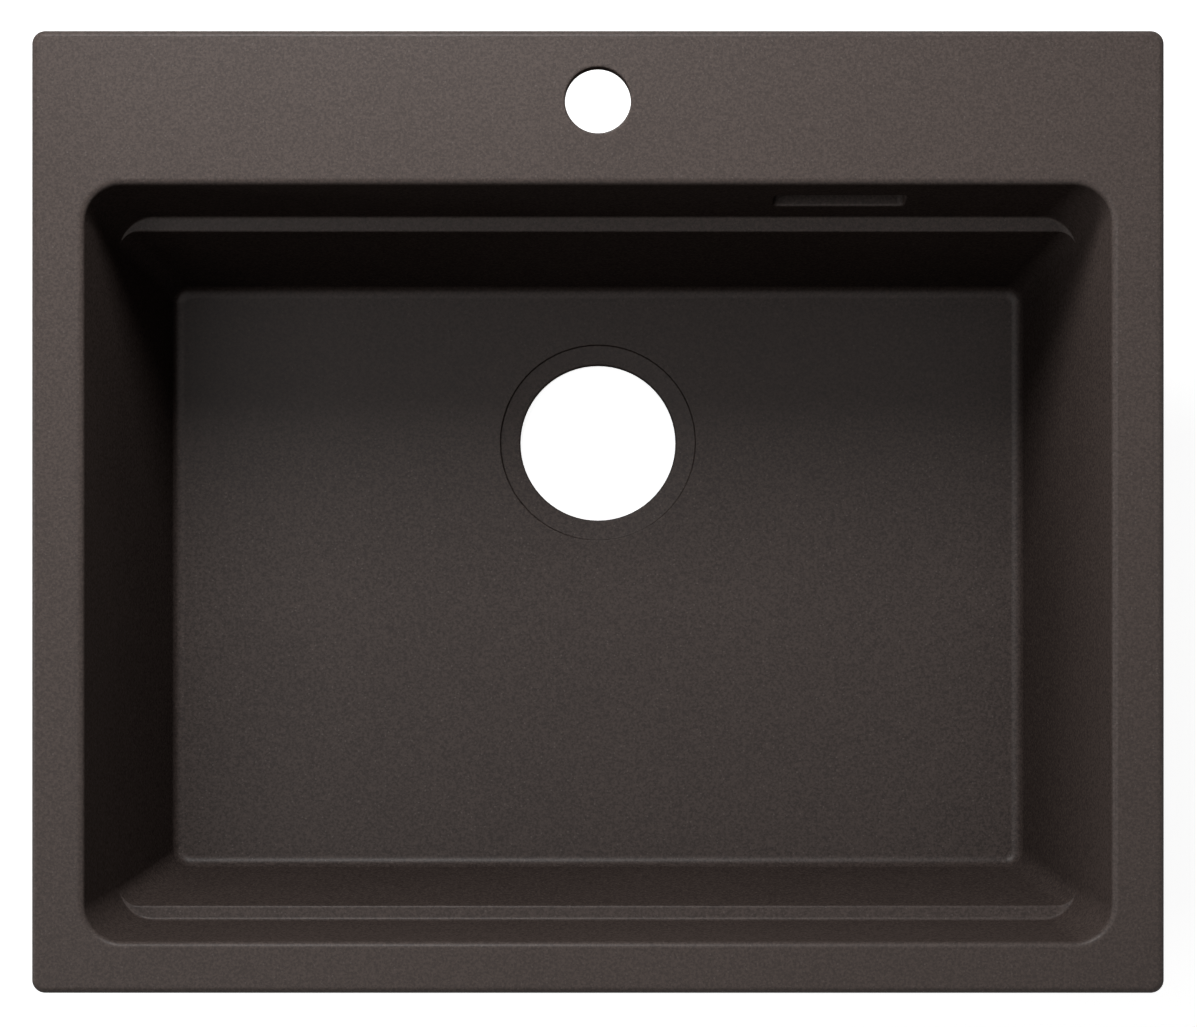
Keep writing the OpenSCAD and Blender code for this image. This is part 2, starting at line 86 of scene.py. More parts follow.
bowl_half_x = rim_half_x - side_land
bowl_half_y = rim_half_y - (front_land + deck_land) / 2
bowl_y = (front_land - deck_land) / 2
floor_depth = rim_top - floor_thickness

drain_y = mounts["drain_hole"]["pos_m"][1]
drain_radius = mounts["drain_hole"]["dims"]["r_mm"] / 1000
recess_radius = 0.0565
recess_depth = 0.0025
recess_fall = 0.0005
recess_edge = 0.0007
hole_edge = 0.0012
hair = 0.00002

corner_steps = 16
round_steps = 8
recess_steps = 4
hole_steps = 5
ring_points = 4 * (corner_steps + 1)


def side_half(depth):
    """Half the bowl's width inside, at a depth below the rim's top."""
    return bowl_half_x - depth * math.tan(side_slope)


def upper_half(depth):
    """Half the bowl's depth from front to back above the ledge."""
    return bowl_half_y - depth * math.tan(upper_slope)


def lower_half(depth):
    """Half the bowl's depth from front to back below the ledge."""
    below = depth - ledge_depth
    return upper_half(ledge_depth) - ledge_width - below * math.tan(side_slope)


def corner_above(depth):
    """Corner radius of the bowl above the ledge."""
    return mouth_corner + (upper_corner - mouth_corner) * depth / ledge_depth


def corner_below(depth):
    """Corner radius of the bowl below the ledge."""
    share = (depth - ledge_depth) / (floor_depth - ledge_depth)
    return lower_corner + (floor_corner - lower_corner) * share


def outside_ring(depth, out, above):
    """Rounded rectangle on the bowl's outside, at a depth and a distance out from its wall."""
    half_y = upper_half(depth) if above else lower_half(depth)
    corner = corner_above(depth) if above else corner_below(depth)
    grown = wall + out
    return (side_half(depth) + grown, half_y + grown, corner + grown, bowl_y, rim_top - depth)


def quarter(start, end, steps=round_steps):
    """Angles in radians from start to end, given in degrees, for a rounded edge."""
    return [math.radians(start + (end - start) * i / steps) for i in range(steps + 1)]


def rounding(radius, steps=round_steps):
    """Distances from a rounded edge's first face and from its second, point by point."""
    return [(radius * (1 - math.cos(turn)), radius * (1 - math.sin(turn)))
            for turn in quarter(0, 90, steps)]


side_degrees = math.degrees(side_slope)
base_flat = base_edge * math.tan(math.radians(45 - side_degrees / 2))
rings = []
for turn in quarter(-90, -side_degrees):
    out = wall - base_flat + base_edge * math.cos(turn)
    rings.append((side_half(rim_top) + out, lower_half(rim_top) + out, floor_corner + out,
                  bowl_y, base_edge + base_edge * math.sin(turn)))
step_top = ledge_depth + wall / 2
step_foot = step_top + ledge_width
rings.append(outside_ring(step_foot + step_ease, 0, False))
rings.append(outside_ring(step_foot, step_ease_out, False))
rings.append(outside_ring(step_top, -step_ease_out, True))
rings.append(outside_ring(step_top - step_ease, 0, True))
for out, down in rounding(under_fillet):
    rings.append(outside_ring(rim_thickness + down, out, True))
rim_foot = rim_top - rim_thickness
rings.append((rim_half_x - rim_chamfer, rim_half_y - rim_chamfer, rim_corner - rim_chamfer,
              0, rim_foot + hair))
rings.append((rim_half_x, rim_half_y, rim_corner, 0, rim_foot + rim_chamfer))
for inward, down in rounding(rim_edge):
    rings.append((rim_half_x - inward, rim_half_y - inward, rim_corner - inward, 0,
                  rim_top - down))
lip_degrees = math.degrees(side_slope + upper_slope) / 2
lip_flat = lip * math.tan(math.radians(45 - lip_degrees / 2))
for turn in quarter(0, 90 - lip_degrees):
    out = lip_flat - lip * math.sin(turn)
    rings.append((bowl_half_x + out, bowl_half_y + out, mouth_corner + out, bowl_y,
                  rim_top - hair - lip * (1 - math.cos(turn))))
ledge_line = [(inward, ledge_depth - up) for inward, up in rounding(ledge_cove)]
ledge_line += [(ledge_width - short, ledge_depth + ledge_fall + down)
               for down, short in rounding(ledge_edge)]
for inward, depth in ledge_line:
    share = inward / ledge_width
    rings.append((side_half(depth), upper_half(min(depth, ledge_depth)) - inward,
                  upper_corner + (lower_corner - upper_corner) * share, bowl_y,
                  rim_top - depth))
floor_flat = floor_fillet * math.tan(math.radians(45 - side_degrees / 2))
for turn in reversed(quarter(-90, -side_degrees)):
    out = floor_fillet * math.cos(turn) - floor_flat
    rings.append((side_half(floor_depth) + out, lower_half(floor_depth) + out,
                  floor_corner + out, bowl_y,
                  floor_thickness + floor_fillet * (1 + math.sin(turn))))

# Radius and height of the rings round the drain, from the floor down to the base
recess_floor = floor_thickness - recess_depth
drain_line = [(recess_radius + out, floor_thickness - hair - down)
              for down, out in rounding(recess_edge, recess_steps)]
drain_line += [(recess_radius - inward, recess_floor + up)
               for inward, up in rounding(recess_edge, recess_steps)]
drain_line += [(drain_radius + out, recess_floor - recess_fall - down)
               for down, out in rounding(hole_edge, hole_steps)]
drain_line += [(drain_radius + out, hair + up) for out, up in rounding(hole_edge, hole_steps)]
drain_rings = [(radius, radius, None, drain_y, z) for radius, z in drain_line]


def only(piece):
    """Leaves one piece selected and active, out of edit mode."""
    bpy.ops.object.select_all(action="DESELECT")
    piece.select_set(True)
    bpy.context.view_layer.objects.active = piece


def mark_ring(index):
    """Writes a ring's number on the vertices that are selected, so that it can be found."""
    shape = bmesh.from_edit_mesh(bpy.context.object.data)
    layer = shape.verts.layers.int.get("ring") or shape.verts.layers.int.new("ring")
    for vertex in shape.verts:
        if vertex.select:
            vertex[layer] = index


def bridge_rings(first, second):
    """Joins two numbered rings of edges by a band of faces."""
    shape = bmesh.from_edit_mesh(bpy.context.object.data)
    layer = shape.verts.layers.int["ring"]
    for edge in shape.edges:
        marks = {vertex[layer] for vertex in edge.verts}
        edge.select_set(marks in ({first}, {second}))
    bpy.ops.mesh.bridge_edge_loops()


def shell(name, rings, closed=True, hair=0):
    """A piece made by joining rounded rectangles, and circles where a ring gives no corner.

    A ring is half its width, half its depth, its corner radius, its centre in Y and its height.
    A closed shell joins its last ring to its first, and any other is filled at both its ends.
    Two rings in one plane may be joined crosswise, so no such two follow each other: where a
    piece would have them, every other ring is raised by a hair.
    """
    bpy.ops.object.select_all(action="DESELECT")
    bpy.ops.mesh.primitive_plane_add(size=1)
    piece = bpy.context.object
    piece.name = name
    bpy.ops.object.mode_set(mode="EDIT")
    bpy.ops.mesh.delete(type="VERT")
    bpy.ops.mesh.select_mode(type="EDGE")
    for index, (half_x, half_y, corner, centre_y, z) in enumerate(rings, 1):
        z += hair * (index % 2)
        bpy.ops.mesh.select_all(action="DESELECT")
        if corner is None:
            bpy.ops.mesh.primitive_circle_add(vertices=ring_points, radius=half_x,
                                              location=(0, centre_y, z))
            mark_ring(index)
            continue
        bpy.ops.mesh.primitive_plane_add(size=2, location=(0, centre_y, z))
        bpy.ops.transform.resize(value=(half_x, half_y, 1), center_override=(0, centre_y, z))
        bpy.ops.mesh.bevel(offset=corner, segments=corner_steps, affect="VERTICES")
        mark_ring(index)
        if closed or 1 < index < len(rings):
            bpy.ops.mesh.delete(type="ONLY_FACE")
    for index in range(1, len(rings) + (1 if closed else 0)):
        bridge_rings(index, index % len(rings) + 1)
    bpy.ops.mesh.select_all(action="SELECT")
    bpy.ops.mesh.normals_make_consistent(inside=False)
    bpy.ops.object.mode_set(mode="OBJECT")
    return piece


moulding = shell("granite_sink", rings + drain_rings)


def pick(kind, test):
    """Selects the vertices, edges or faces of the piece in edit mode that pass a test."""
    shape = bmesh.from_edit_mesh(bpy.context.object.data)
    bpy.ops.mesh.select_all(action="DESELECT")
    for part in getattr(shape, kind):
        if test(part):
            part.select_set(True)
    shape.select_flush_mode()


def middle(part):
    """Centre of an edge or a face."""
    points = [vertex.co for vertex in part.verts]
    return sum(points[1:], points[0].copy()) / len(points)


def modify(piece, kind, **settings):
    """Adds a modifier to a piece and applies it."""
    only(piece)
    modifier = piece.modifiers.new("made", kind)
    for name, value in settings.items():
        setattr(modifier, name, value)
    bpy.ops.object.modifier_apply(modifier=modifier.name)


def put(piece, location, rotation=(0, 0, 0)):
    """Moves and turns a piece, and applies both to its mesh."""
    only(piece)
    piece.location = location
    piece.rotation_euler = rotation
    bpy.ops.object.transform_apply()


def place_copy(master, name, x, y, turn):
    """A copy with its own mesh, moved from the origin to a clip's pivot and turned there."""
    copy = master.copy()
    copy.data = master.data.copy()
    copy.name = name
    bpy.context.collection.objects.link(copy)
    put(copy, (x, y, 0), (0, 0, turn))
    return copy


def join(pieces, name):
    """Joins pieces into one object."""
    only(pieces[0])
    for piece in pieces[1:]:
        piece.select_set(True)
    bpy.ops.object.join()
    bpy.context.object.name = name
    return bpy.context.object


def block(name, low, high):
    """A box between two corners."""
    bpy.ops.object.select_all(action="DESELECT")
    bpy.ops.mesh.primitive_cube_add(size=1, scale=[b - a for a, b in zip(low, high)],
                                    location=[(a + b) / 2 for a, b in zip(low, high)])
    bpy.ops.object.transform_apply()
    bpy.context.object.name = name
    return bpy.context.object


def rod(name, radius, low, high, x=0, y=0, around=48):
    """An upright cylinder between two heights."""
    bpy.ops.object.select_all(action="DESELECT")
    bpy.ops.mesh.primitive_cylinder_add(vertices=around, radius=radius, depth=high - low,
                                        location=(x, y, (low + high) / 2))
    bpy.ops.object.transform_apply()
    bpy.context.object.name = name
    return bpy.context.object


def cut_away(piece, tool):
    """Cuts a tool's shape out of a piece, and removes the tool."""
    modify(piece, "BOOLEAN", operation="DIFFERENCE", object=tool, solver="EXACT")
    bpy.data.objects.remove(tool)


def add_on(piece, extra):
    """Fuses another shape to a piece, and removes it."""
    modify(piece, "BOOLEAN", operation="UNION", object=extra, solver="EXACT")
    bpy.data.objects.remove(extra)


def round_edges(piece, test, radius, steps):
    """Rounds the edges of a piece that pass a test."""
    only(piece)
    bpy.ops.object.mode_set(mode="EDIT")
    bpy.ops.mesh.select_mode(type="EDGE")
    pick("edges", test)
    bpy.ops.mesh.bevel(offset=radius, segments=steps)
    bpy.ops.object.mode_set(mode="OBJECT")


# Bosses for the clips' dowels, cast on under the rim and tied to the bowl's wall by a web.
# A clip is its number, its place, its turn out from the bowl, and its way to the bowl's edge.
clips = []
for number in range(1, 9):
    low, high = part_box(f"clip_washer_{number}")
    x, y = (low.x + high.x) / 2, (low.y + high.y) / 2
    if abs(x) > abs(y):
        clips.append((number, x, y, 0 if x > 0 else math.pi, abs(x) - bowl_half_x))
    else:
        web = abs(y - bowl_y) - bowl_half_y
        clips.append((number, x, y, math.copysign(math.pi / 2, y), web))

boss_foot = rim_top - 0.036
boss_radius = 0.0065
boss_flare = 0.0012
boss_round = 0.0008
flare_steps = 4
edge_steps = 3
web_width = 0.008
web_foot = boss_foot + 0.0015
web_round = 0.0012
into_rim = 0.001
dowel_hole = 0.0035
dowel_hole_depth = 0.0242

bosses = []
dowel_holes = []
for number, x, y, turn, web in clips:
    shaft_top = rim_foot - boss_flare
    boss = rod("boss", boss_radius, boss_foot, shaft_top)
    round_edges(boss, lambda edge: all(v.co.z < boss_foot + boss_round for v in edge.verts),
                boss_round, edge_steps)
    bpy.ops.object.mode_set(mode="EDIT")
    pick("faces", lambda face: middle(face).z > shaft_top - boss_round)
    flare = rounding(boss_flare, flare_steps)
    for (before, low), (after, high) in zip(flare, flare[1:]):
        share = (boss_radius + after) / (boss_radius + before)
        bpy.ops.mesh.extrude_region_move(TRANSFORM_OT_translate={"value": (0, 0, low - high)})
        bpy.ops.transform.resize(value=(share, share, 1), center_override=(0, 0, 0))
    bpy.ops.mesh.extrude_region_move(TRANSFORM_OT_translate={"value": (0, 0, into_rim)})
    bpy.ops.object.mode_set(mode="OBJECT")
    rib = block("rib", (-web, -web_width / 2, web_foot), (0, web_width / 2, rim_foot + into_rim))
    round_edges(rib, lambda edge: all(v.co.z < web_foot + web_round for v in edge.verts)
                and abs(edge.verts[0].co.y - edge.verts[1].co.y) < web_round,
                web_round, edge_steps)
    add_on(boss, rib)
    put(boss, (x, y, 0), (0, 0, turn))
    bosses.append(boss)
    dowel_holes.append(rod("hole", dowel_hole, boss_foot - into_rim, boss_foot + dowel_hole_depth,
                           x, y, around=40))

# Pad that the overflow collector is screwed to, with a sloped foot
gasket_low, gasket_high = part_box("overflow_gasket")
slot_x = (gasket_low.x + gasket_high.x) / 2
slot_z = (gasket_low.z + gasket_high.z) / 2
pad_y = gasket_low.y
pad_half_x = 0.058
pad_foot = slot_z - 0.02225
pad_slope = 0.0134
pad_inner = 0.1745
pad_lean = 0.0065
pad_round = 0.0015
pad_top = rim_foot + into_rim
pad = block("pad", (slot_x - pad_half_x, pad_inner, pad_foot - pad_slope),
            (slot_x + pad_half_x, pad_y, pad_top))
bpy.ops.object.mode_set(mode="EDIT")
pick("edges", lambda edge: middle(edge).y < pad_inner + pad_round
     and middle(edge).z < pad_foot)
bpy.ops.transform.translate(value=(0, -pad_lean, 0))
pick("edges", lambda edge: middle(edge).y > pad_y - pad_round and middle(edge).z < pad_foot
     and abs(edge.verts[0].co.x - edge.verts[1].co.x) > pad_half_x)
bpy.ops.mesh.bevel(offset=pad_slope, segments=1)
bpy.ops.object.mode_set(mode="OBJECT")
round_edges(pad, lambda edge: all(v.co.y > pad_y - pad_slope for v in edge.verts)
            and abs(edge.verts[0].co.x - edge.verts[1].co.x) < pad_round
            and middle(edge).z < pad_top - pad_round, pad_round, edge_steps)


def stand_at_slot(piece, x, y, turn=-90):
    """Tips a piece that was made on Z on its side behind the slot: up to the back, or turned."""
    put(piece, (x, y, slot_z), (math.radians(turn), 0, 0))


# Holes: for the tap through the deck, the overflow slot, and blind ones for dowels and inserts
tap_x, tap_y = mounts["tap_hole"]["pos_m"][:2]
tap_radius = mounts["tap_hole"]["dims"]["r_mm"] / 1000
tap_round = 0.001
near = 0.0001
slot_half_x = 0.035
slot_half_z = 0.01125
slot_corner = 0.0035
slot_round = 0.0013
insert_x = 0.048
insert_hole = 0.00305
insert_hole_depth = 0.009
cutters = [rod("hole", tap_radius, rim_foot - into_rim, rim_top + into_rim, tap_x, tap_y,
               around=96)]
bpy.ops.mesh.primitive_plane_add(size=2, location=(slot_x, pad_y + into_rim, slot_z),
                                 rotation=(math.pi / 2, 0, 0))
cutters.append(bpy.context.object)
bpy.ops.object.transform_apply()
bpy.ops.object.mode_set(mode="EDIT")
bpy.ops.transform.resize(value=(slot_half_x, 1, slot_half_z),
                         center_override=(slot_x, pad_y + into_rim, slot_z))
bpy.ops.mesh.bevel(offset=slot_corner, segments=round_steps, affect="VERTICES")
bpy.ops.mesh.extrude_region_move(TRANSFORM_OT_translate={"value": (0, bowl_y - pad_y, 0)})
bpy.ops.mesh.select_all(action="SELECT")
bpy.ops.mesh.normals_make_consistent(inside=False)
bpy.ops.object.mode_set(mode="OBJECT")
for side in (-1, 1):
    cutters.append(rod("hole", insert_hole, -insert_hole_depth, into_rim, around=40))
    stand_at_slot(cutters[-1], slot_x + side * insert_x, pad_y)
add_on(moulding, join(bosses + [pad], "additions"))
cut_away(moulding, join(cutters + dowel_holes, "cutters"))


def on_tap_edge(vertex):
    """True on the top edge of the tap hole."""
    spread = math.hypot(vertex.co.x - tap_x, vertex.co.y - tap_y)
    return abs(vertex.co.z - rim_top) < near and abs(spread - tap_radius) < near


def on_slot_edge(vertex):
    """True on the slot's edge in the bowl's back wall."""
    wall_y = bowl_y + upper_half(rim_top - vertex.co.z)
    inside_x = abs(vertex.co.x - slot_x) < slot_half_x + near
    inside_z = abs(vertex.co.z - slot_z) < slot_half_z + near
    return abs(vertex.co.y - wall_y) < 2 * near and inside_x and inside_z


def smooth(piece, degrees=35):
    """Shades a piece smooth, but not over edges that are sharper than an angle."""
    only(piece)
    bpy.ops.object.shade_smooth_by_angle(angle=math.radians(degrees))


round_edges(moulding, lambda edge: all(on_tap_edge(vertex) for vertex in edge.verts),
            tap_round, hole_steps)
round_edges(moulding, lambda edge: all(on_slot_edge(vertex) for vertex in edge.verts),
            slot_round, hole_steps)
smooth(moulding)
modify(moulding, "WEIGHTED_NORMAL", keep_sharp=True)


class Wire:
    """A socket in a material's node tree, so that shader maths reads as Python."""

    def __init__(self, tree, socket=None):
        self.tree = tree
        self.socket = socket

    def node(self, kind, sockets=None, output=0, **settings):
        """Adds any node: its settings first, then values or wires for its sockets."""
        made = self.tree.nodes.new("ShaderNode" + kind)
        for name, value in settings.items():
            setattr(made, name, value)
        for name, value in (sockets or {}).items():
            socket = self.find(made.inputs, name)
            if isinstance(value, Wire):
                self.tree.links.new(value.socket, socket)
            else:
                socket.default_value = value
        return Wire(self.tree, self.find(made.outputs, output))

    @staticmethod
    def find(sockets, name):
        """The socket with a number, or the one in use with a name."""
        if isinstance(name, int):
            return sockets[name]
        return next(socket for socket in sockets if socket.enabled and socket.name == name)

    def maths(self, operation, first, second=0.0):
        """Adds a Math node for two values or wires."""
        return self.node("Math", {0: first, 1: second}, operation=operation)

    def __add__(self, other):
        return self.maths("ADD", self, other)

    __radd__ = __add__

    def __mul__(self, other):
        return self.maths("MULTIPLY", self, other)

    __rmul__ = __mul__

    def __sub__(self, other):
        return self.maths("SUBTRACT", self, other)

    def __rsub__(self, other):
        return self.maths("SUBTRACT", other, self)

    def __truediv__(self, other):
        return self.maths("DIVIDE", self, other)

    def __gt__(self, other):
        return self.maths("GREATER_THAN", self, other)

    def __lt__(self, other):
        return self.maths("LESS_THAN", self, other)

    def spread(self, low, high, to_low=0.0, to_high=1.0):
        """Maps a range of this value to another, clamped, with smooth ends."""
        return self.node("MapRange", {"Value": self, "From Min": low, "From Max": high,
                                      "To Min": to_low, "To Max": to_high},
                         interpolation_type="SMOOTHSTEP")

    def mix(self, first, second):
        """Mixes two colours by this value."""
        return self.node("Mix", {"Factor": self, "A": first, "B": second}, output="Result",
                         data_type="RGBA")

    def noise(self, place, scale, detail, **sockets):
        """A noise texture at a place: its scale, its detail, and any other sockets."""
        return self.node("TexNoise", {"Vector": place, "Scale": scale, "Detail": detail, **sockets})

    def cells(self, place, scale, output="Distance"):
        """A texture of cells at a place: the distance to each cell's middle, or its colour."""
        return self.node("TexVoronoi", {"Vector": place, "Scale": scale}, output=output)

    def bump(self, height, strength, distance):
        """Bends the surface's normal by a height."""
        return self.node("Bump", {"Height": height, "Strength": strength, "Distance": distance})

    def feed(self, shader, sockets):
        """Sets or links the sockets of a material's own shader."""
        for name, value in sockets.items():
            if isinstance(value, Wire):
                self.tree.links.new(value.socket, shader.inputs[name])
            else:
                shader.inputs[name].default_value = value


def finish(piece, build, slot, body, *nodes):
    """Gives a piece its material, hides the model's parts that it stands for, and hangs it on the
    body that it moves with.
    """
    material = bpy.data.materials.get(build.__name__)
    if material is None:
        material = bpy.data.materials.new(build.__name__)
        material.use_nodes = True
        wires = Wire(material.node_tree)
        place = wires.node("TexCoord", output="Object")
        build(wires, place, material.node_tree.nodes["Principled BSDF"])
    piece.data.materials.clear()
    piece.data.materials.append(material)
    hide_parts(*nodes)
    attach(piece, body)


def brown_composite(wires, place, shader):
    """Matte brown composite: packed quartz grains of under a millimetre, dyed and bound. Its colour
    has painted shade: darker towards the bowl's floor, lighter towards the rim.
    """
    dark_brown = (0.0405, 0.0305, 0.0277, 1.0)
    light_brown = (0.1242, 0.0956, 0.0851, 1.0)
    bare_quartz = (0.190, 0.1600, 0.1480, 1.0)
    grain = wires.node("SeparateColor", {0: wires.cells(place, 1150.0, "Color")})
    coarse = wires.noise(place, 620.0, 3.0, Roughness=0.6)
    cloud = wires.noise(place, 14.0, 4.0)
    tone = (grain - 0.5) * 0.8 + (coarse - 0.5) * 2.1 + (cloud - 0.5) * 0.3
    # Painted shade: the colour is lighter towards the rim and darker towards the bowl's floor, set
    # by height in place of the light that the bowl's walls keep off its floor.
    height = wires.node("SeparateXYZ", {0: place}, output="Z")
    painted_height_shade = (height - floor_thickness) / (rim_top - floor_thickness)
    shade = tone.spread(-0.6, 0.6, 0.0, 0.65) + painted_height_shade * 0.35
    colour = shade.mix(dark_brown, light_brown)
    chance = wires.node("SeparateColor", {0: wires.cells(place, 520.0, "Color")})
    fleck = (wires.cells(place, 520.0) < 0.24) * (chance > 0.9)
    colour = (fleck * 0.5).mix(colour, bare_quartz)
    bump = wires.bump(coarse * 0.6 + grain * 0.4, 0.25, 0.00015)
    edge_on = wires.node("LayerWeight", {"Blend": 0.5}, output="Facing")
    wires.feed(shader, {"Base Color": colour, "Roughness": shade.spread(0.0, 1.0, 0.90, 0.80),
                        "Specular IOR Level": 0.0, "Coat Roughness": 0.42,
                        "Coat Weight": edge_on.spread(0.3, 0.8, 0.45, 0.0),
                        "Normal": bump})


finish(moulding, brown_composite, "granite_composite", "sink", "sink_moulding")

# Rim seal. A strip of closed-cell foam stuck under the rim all round, with its ends butted
# behind the bowl. It is pressed flat when the clips draw the sink down on the worktop.
seal_low, seal_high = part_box("rim_seal")
seal_width = 0.006
seal_corner = 0.004
seal_round = 0.0006
seal_joint = 0.0004
seal_joint_x = -0.06


def rounded_section(low_u, high_u, low_v, high_v, radius, steps=3):
    """Points round a rectangle with rounded corners, for a section that is swept or turned."""
    points = []
    for centre_u, centre_v, start in ((high_u - radius, low_v + radius, -90),
                                      (high_u - radius, high_v - radius, 0),
                                      (low_u + radius, high_v - radius, 90),
                                      (low_u + radius, low_v + radius, 180)):
        points += [(centre_u + radius * math.cos(turn), centre_v + radius * math.sin(turn))
                   for turn in quarter(start, start + 90, steps)]
    return points


seal_half_x = seal_high.x - seal_width
seal_half_y = seal_high.y - seal_width
seal = shell("foam_strip", [(seal_half_x + out, seal_half_y + out, seal_corner + out / 2, 0, z)
                            for out, z in rounded_section(0, seal_width, seal_low.z, seal_high.z,
                                                          seal_round)], hair=hair)
cut_away(seal, block("joint", (seal_joint_x, seal_half_y - seal_width, seal_low.z - seal_width),
                     (seal_joint_x + seal_joint, seal_half_y + 2 * seal_width,
                      seal_high.z + seal_width)))
smooth(seal)


def closed_cell_foam(wires, place, shader):
    """Dark grey foam rubber: cells of half a millimetre, cut open on its skin."""
    cell = wires.cells(place, 1500.0)
    cloud = wires.noise(place, 60.0, 3.0)
    shade = cell.spread(0.1, 0.7) * 0.7 + cloud * 0.3
    colour = shade.mix((0.055, 0.055, 0.06, 1.0), (0.028, 0.028, 0.031, 1.0))
    wires.feed(shader, {"Base Color": colour, "Roughness": cloud.spread(0.3, 0.7, 0.8, 0.95),
                        "Normal": wires.bump(cell, 0.6, 0.0003)})


finish(seal, closed_cell_foam, "foam_seal", "sink", "rim_seal")

# Overflow inserts. Knurled brass bushes, cast blind into the pad behind the slot. They hold
# the two screws of the overflow collector.
insert_radius = 0.003
insert_length = 0.008
insert_bore = 0.00205
insert_waist = 0.0026
insert_waist_half = 0.0006
insert_edge = 0.0003
knurl_depth = 0.00012
knurl_ridges = 32


def turned(name, profile, around=48, capped=False):
    """A turned piece: a circle drawn out and resized through a profile of radii and heights.

    It is filled at both its ends if it is capped, and otherwise its profile is a closed loop.
    """
    bpy.ops.object.select_all(action="DESELECT")
    radius, z = profile[0]
    bpy.ops.mesh.primitive_circle_add(vertices=around, radius=radius, location=(0, 0, z),
                                      fill_type="NGON" if capped else "NOTHING")
    bpy.ops.object.transform_apply()
    piece = bpy.context.object
    piece.name = name
    bpy.ops.object.mode_set(mode="EDIT")
    bpy.ops.mesh.select_mode(type="FACE" if capped else "EDGE")
    bpy.ops.mesh.select_all(action="SELECT")
    for next_radius, next_z in profile[1:]:
        bpy.ops.mesh.extrude_region_move(TRANSFORM_OT_translate={"value": (0, 0, next_z - z)})
        share = next_radius / radius
        bpy.ops.transform.resize(value=(share, share, 1), center_override=(0, 0, 0))
        radius, z = next_radius, next_z
    if not capped:
        bpy.ops.mesh.select_all(action="DESELECT")
        bpy.ops.mesh.select_non_manifold()
        bpy.ops.mesh.bridge_edge_loops()
    bpy.ops.mesh.select_all(action="SELECT")
    bpy.ops.mesh.normals_make_consistent(inside=False)
    bpy.ops.object.mode_set(mode="OBJECT")
    return piece


insert_middle = -insert_length / 2
insert_line = [(insert_bore, -insert_edge), (insert_bore, insert_edge - insert_length),
               (insert_bore + insert_edge, -insert_length),
               (insert_radius - insert_edge, -insert_length),
               (insert_radius, insert_edge - insert_length),
               (insert_radius, insert_middle - insert_waist_half - insert_edge),
               (insert_waist, insert_middle - insert_waist_half),
               (insert_waist, insert_middle + insert_waist_half),
               (insert_radius, insert_middle + insert_waist_half + insert_edge),
               (insert_radius, -insert_edge), (insert_radius - insert_edge, 0),
               (insert_bore + insert_edge, 0)]
insert_pair = []
for side in (-1, 1):
    insert = turned("insert", insert_line, 2 * knurl_ridges)
    for vertex in insert.data.vertices:
        ridge = math.cos(knurl_ridges * math.atan2(vertex.co.y, vertex.co.x))
        if math.hypot(vertex.co.x, vertex.co.y) > insert_radius - insert_edge / 2:
            share = 1 - knurl_depth * (1 - ridge) / 2 / insert_radius
            vertex.co.x *= share
            vertex.co.y *= share
    smooth(insert, degrees=50)
    stand_at_slot(insert, slot_x + side * insert_x, pad_y)
    insert_pair.append(insert)
inserts = join(insert_pair, "insert_pair")


def turned_brass(wires, place, shader):
    """Brass from the lathe: fine turning marks, and a slightly tarnished tone."""
    drawn = wires.node("Mapping", {"Vector": place, "Scale": (1.0, 14.0, 1.0)})
    marks = wires.noise(drawn, 420.0, 2.0)
    tarnish = wires.noise(place, 260.0, 3.0)
    colour = tarnish.spread(0.3, 0.7).mix((0.64, 0.43, 0.15, 1.0), (0.80, 0.60, 0.27, 1.0))
    wires.feed(shader, {"Base Color": colour, "Metallic": 1.0,
                        "Roughness": tarnish.spread(0.3, 0.7, 0.38, 0.24),
                        "Normal": wires.bump(marks, 0.2, 0.00005)})


finish(inserts, turned_brass, "brass", "sink", "overflow_inserts")

# Overflow gasket. Cut from a 2 mm rubber sheet, with a window as large as the collector's
# hollow. It seals the collector to the pad behind the slot.
gasket_thickness = gasket_high.y - gasket_low.y
flange_half_x = (gasket_high.x - gasket_low.x) / 2
flange_half_z = (gasket_high.z - gasket_low.z) / 2
flange_corner = 0.006
hollow_margin = 0.004
hollow_half_x = slot_half_x + hollow_margin
hollow_half_z = slot_half_z + hollow_margin
hollow_corner = slot_corner + hollow_margin
gasket_round = 0.0002
screw_hole = 0.00205

gasket_rings = []
band = flange_half_x - hollow_half_x
for across, z in rounded_section(0, band, 0, gasket_thickness, gasket_round, steps=2):
    share = across / band
    gasket_rings.append((hollow_half_x + across,
                         hollow_half_z + (flange_half_z - hollow_half_z) * share,
                         hollow_corner + (flange_corner - hollow_corner) * share, 0, z))
gasket = shell("slot_gasket", gasket_rings, hair=hair)
for side in (-1, 1):
    cut_away(gasket, rod("hole", screw_hole, -gasket_thickness, 2 * gasket_thickness,
                         side * insert_x))
stand_at_slot(gasket, slot_x, gasket_low.y)
smooth(gasket)


def sheet_rubber(wires, place, shader):
    """Sheet rubber: near black, with a dusty bloom and a faint cloth mark."""
    bloom = wires.noise(place, 90.0, 4.0)
    colour = bloom.spread(0.35, 0.75).mix((0.014, 0.014, 0.014, 1.0), (0.034, 0.033, 0.032, 1.0))
    wires.feed(shader, {"Base Color": colour, "Roughness": bloom.spread(0.3, 0.7, 0.7, 0.88),
                        "Normal": wires.bump(wires.cells(place, 1300.0), 0.2, 0.0001)})


finish(gasket, sheet_rubber, "black_rubber", "sink", "overflow_gasket")

